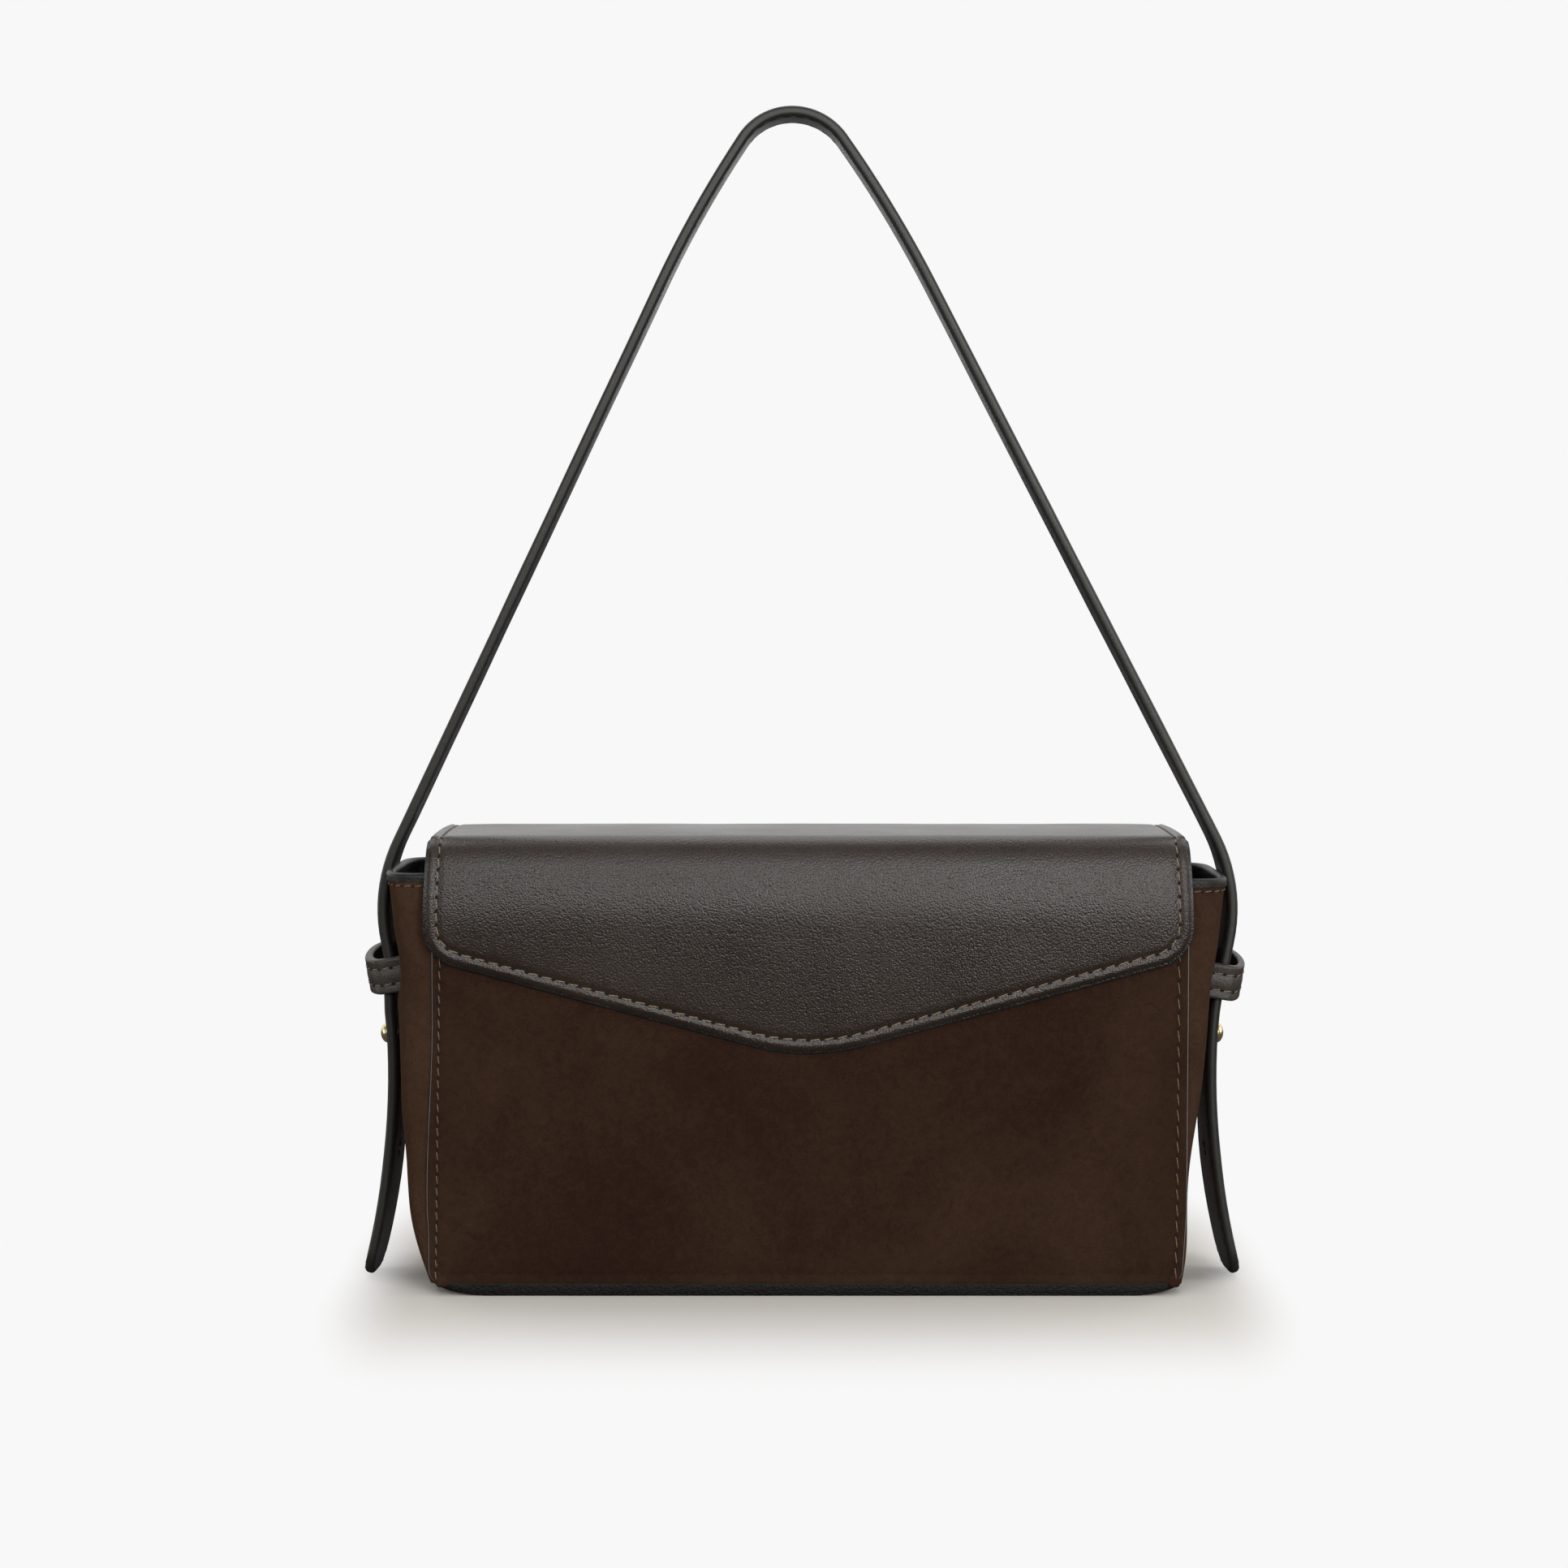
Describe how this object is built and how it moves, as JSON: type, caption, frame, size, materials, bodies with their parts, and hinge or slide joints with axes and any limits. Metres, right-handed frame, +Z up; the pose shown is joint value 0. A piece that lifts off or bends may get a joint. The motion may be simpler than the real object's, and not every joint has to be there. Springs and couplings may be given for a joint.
{
  "type": "baguette bag",
  "caption": "Small structured rectangular shoulder bag with suede body, envelope-shaped leather front flap and one flat adjustable strap standing in an arch over it.",
  "frame": {"origin": "centre of the base's underside, on the floor the bag stands on", "axes": "+X to the bag's right-hand side as seen from the front, front face towards -Y, +Z up"},
  "size_m": [0.284, 0.0766, 0.3767],
  "materials": {
    "suede": "dark brown suede, matt nap",
    "gusset_suede": "dark brown suede, matt nap, a little lighter",
    "flap_leather": "dark grey-brown smooth fine-grained leather, soft sheen",
    "strap_leather": "dark leather with painted edges, satin",
    "binding_leather": "near-black leather, satin",
    "base_leather": "dark leather with dark painted edge",
    "lining": "black tightly woven lining with a slight gloss",
    "stiffening": "plain fibre board, not seen",
    "magnet": "nickel-plated magnet",
    "gold": "polished light gold plating",
    "screw_steel": "plain steel"
  },
  "bodies": {
    "bag_body": {"front_panel": "suede", "front_board": "stiffening", "front_lining": "lining", "front_magnet": "magnet", "front_top_binding": "binding_leather", "back_panel": "suede", "back_board": "stiffening", "back_lining": "lining", "back_facing": "binding_leather", "flap_back_strip": "flap_leather", "left_gusset": "gusset_suede", "right_gusset": "gusset_suede", "left_gusset_lining": "lining", "right_gusset_lining": "lining", "left_top_binding": "binding_leather", "right_top_binding": "binding_leather", "base_panel": "base_leather", "base_board": "stiffening", "base_lining": "lining", "inner_pocket": "lining", "left_keeper": "strap_leather", "right_keeper": "strap_leather", "left_stud": "gold", "right_stud": "gold", "left_stud_screw": "screw_steel", "right_stud_screw": "screw_steel", "left_strap_end": "strap_leather", "right_strap_end": "strap_leather"},
    "flap": {"flap_outer": "flap_leather", "flap_stiffener": "stiffening", "flap_lining": "binding_leather", "flap_magnet": "magnet"},
    "carry_strap": {"strap": "strap_leather"},
    "left_free_tail": {"left_tail": "strap_leather"},
    "right_free_tail": {"right_tail": "strap_leather"}
  },
  "joints": [
    {"name": "flap_open", "type": "hinge", "parent": "bag_body", "child": "flap", "pos_m": [0, 0.0358, 0.13704], "axis": [-1, 0, 0], "range_deg": [0, 115], "deforming": ["strap"]},
    {"name": "strap_swing", "type": "hinge", "parent": "bag_body", "child": "carry_strap", "pos_m": [0, 0, 0.1465], "axis": [1, 0, 0], "range_deg": [-35, 35], "stiffness_Nm_per_rad": 0.15},
    {"name": "left_tail_flex", "type": "hinge", "parent": "bag_body", "child": "left_free_tail", "pos_m": [-0.13126, 0, 0.072], "axis": [0, 1, 0], "range_deg": [0, 35], "stiffness_Nm_per_rad": 0.02},
    {"name": "right_tail_flex", "type": "hinge", "parent": "bag_body", "child": "right_free_tail", "pos_m": [0.13126, 0, 0.072], "axis": [0, -1, 0], "range_deg": [0, 35], "stiffness_Nm_per_rad": 0.02}
  ]
}
